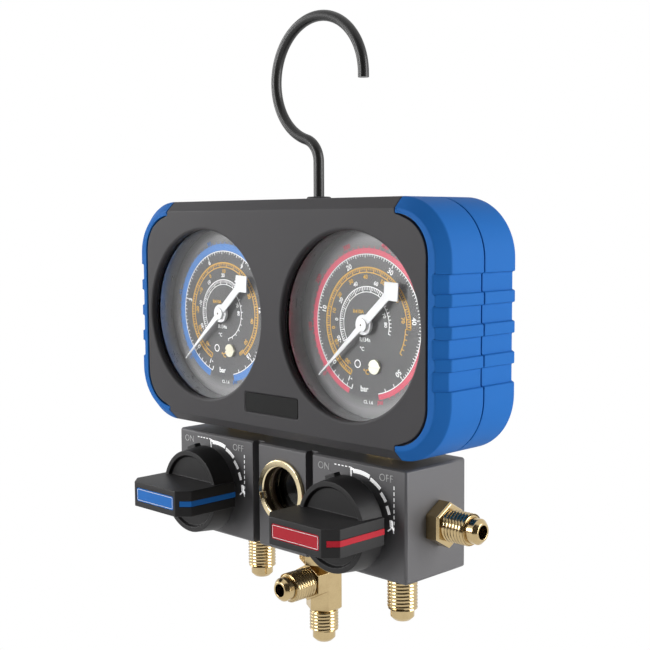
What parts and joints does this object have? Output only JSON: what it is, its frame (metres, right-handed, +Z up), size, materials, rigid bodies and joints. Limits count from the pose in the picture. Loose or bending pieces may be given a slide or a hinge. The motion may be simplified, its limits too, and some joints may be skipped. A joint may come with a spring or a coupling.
{
  "type": "refrigerant manifold gauge",
  "caption": "Refrigerant manifold gauge set: round pressure gauges in a bumpered housing over a valve block with knobs, sight glass, brass flare ports and a swivel hook.",
  "frame": {"origin": "where the hook bears on what it hangs from, on the swivel axis", "axes": "+Z up, +X to the right seen from the front, -Y towards the viewer of the dials"},
  "size_m": [0.1612, 0.0656, 0.2381],
  "materials": {
    "dark_shell": "fine matt",
    "blue_rubber": "satin",
    "steel": "plain",
    "black_wire": "satin black",
    "grey_aluminium": "dark anodised",
    "brass": "machined",
    "clear_glass": "clear",
    "black_seal": "matt",
    "black_plastic": "matt",
    "dial_face": "matt",
    "white_pointer": "painted white",
    "dial_screw": "plated",
    "white_seat": "plain",
    "low_blue": "satin",
    "high_red": "satin"
  },
  "bodies": {
    "housing": {"front_cover": "dark_shell", "rear_cover": "dark_shell", "front_bumper_left": "blue_rubber", "front_bumper_right": "blue_rubber", "rear_bumper_left": "blue_rubber", "rear_bumper_right": "blue_rubber", "cover_screws": "steel", "hook_bush": "dark_shell", "manifold_block": "grey_aluminium", "sight_glass_ring": "brass", "sight_glass_lens": "clear_glass", "sight_glass_seal": "black_seal", "vacuum_port": "brass", "charging_tee": "brass", "low_gauge_case": "steel", "low_bezel": "black_plastic", "low_lens": "clear_glass", "low_dial": "dial_face", "low_socket": "brass", "low_bourdon_tube": "brass", "low_movement_frame": "brass", "low_side_port": "brass", "low_gland_nut": "brass", "low_stem_seal": "black_seal", "low_ball_seats": "white_seat", "high_gauge_case": "steel", "high_bezel": "black_plastic", "high_lens": "clear_glass", "high_dial": "dial_face", "high_socket": "brass", "high_bourdon_tube": "brass", "high_movement_frame": "brass", "high_side_port": "brass", "high_gland_nut": "brass", "high_stem_seal": "black_seal", "high_ball_seats": "white_seat"},
    "hook": {"hook": "black_wire", "hook_clip": "steel"},
    "low_valve": {"low_knob": "black_plastic", "low_knob_stripes": "low_blue", "low_knob_badge": "low_blue", "low_knob_screw": "steel", "low_valve_stem": "steel", "low_valve_ball": "steel"},
    "low_pointer": {"low_pointer": "white_pointer", "low_pinion": "brass"},
    "low_sector": {"low_sector": "brass"},
    "low_link": {"low_link": "brass"},
    "low_zero_screw": {"low_zero_screw": "dial_screw"},
    "high_valve": {"high_knob": "black_plastic", "high_knob_stripes": "high_red", "high_knob_badge": "high_red", "high_knob_screw": "steel", "high_valve_stem": "steel", "high_valve_ball": "steel"},
    "high_pointer": {"high_pointer": "white_pointer", "high_pinion": "brass"},
    "high_sector": {"high_sector": "brass"},
    "high_link": {"high_link": "brass"},
    "high_zero_screw": {"high_zero_screw": "dial_screw"}
  },
  "joints": [
    {"name": "hook_swivel", "type": "hinge", "parent": "housing", "child": "hook", "pos_m": [0, 0, 0], "axis": [0, 0, 1], "continuous": true},
    {"name": "low_valve_turn", "type": "hinge", "parent": "housing", "child": "low_valve", "pos_m": [-0.038, -0.0253, -0.1763], "axis": [0, -1, 0], "range_deg": [0, 90]},
    {"name": "low_sector_swing", "type": "hinge", "parent": "housing", "child": "low_sector", "pos_m": [-0.038, -0.0094, -0.1215], "axis": [0, 1, 0], "range_deg": [-38.57, 0], "stiffness_Nm_per_rad": 0.01},
    {"name": "low_pointer_turn", "type": "hinge", "parent": "housing", "child": "low_pointer", "pos_m": [-0.038, -0.0168, -0.1087], "axis": [0, 1, 0], "range_deg": [0, 270]},
    {"name": "low_link_pivot", "type": "hinge", "parent": "low_sector", "child": "low_link", "pos_m": [-0.03965, -0.0094, -0.12622], "axis": [0, 1, 0], "range_deg": [0, 38.58]},
    {"name": "low_zero_adjust", "type": "hinge", "parent": "housing", "child": "low_zero_screw", "pos_m": [-0.0342, -0.014, -0.1231], "axis": [0, -1, 0], "range_deg": [-45, 45]},
    {"name": "high_valve_turn", "type": "hinge", "parent": "housing", "child": "high_valve", "pos_m": [0.038, -0.0253, -0.1763], "axis": [0, -1, 0], "range_deg": [0, 90]},
    {"name": "high_sector_swing", "type": "hinge", "parent": "housing", "child": "high_sector", "pos_m": [0.038, -0.0094, -0.1215], "axis": [0, 1, 0], "range_deg": [-38.57, 0], "stiffness_Nm_per_rad": 0.01},
    {"name": "high_pointer_turn", "type": "hinge", "parent": "housing", "child": "high_pointer", "pos_m": [0.038, -0.0168, -0.1087], "axis": [0, 1, 0], "range_deg": [0, 270]},
    {"name": "high_link_pivot", "type": "hinge", "parent": "high_sector", "child": "high_link", "pos_m": [0.03635, -0.0094, -0.12622], "axis": [0, 1, 0], "range_deg": [0, 38.58]},
    {"name": "high_zero_adjust", "type": "hinge", "parent": "housing", "child": "high_zero_screw", "pos_m": [0.0418, -0.014, -0.1231], "axis": [0, -1, 0], "range_deg": [-45, 45]}
  ],
  "couplings": [
    {"joint": "low_pointer_turn", "follows": "low_sector_swing", "ratio": -7},
    {"joint": "low_link_pivot", "follows": "low_sector_swing", "ratio": -1},
    {"joint": "high_pointer_turn", "follows": "high_sector_swing", "ratio": -7},
    {"joint": "high_link_pivot", "follows": "high_sector_swing", "ratio": -1}
  ]
}
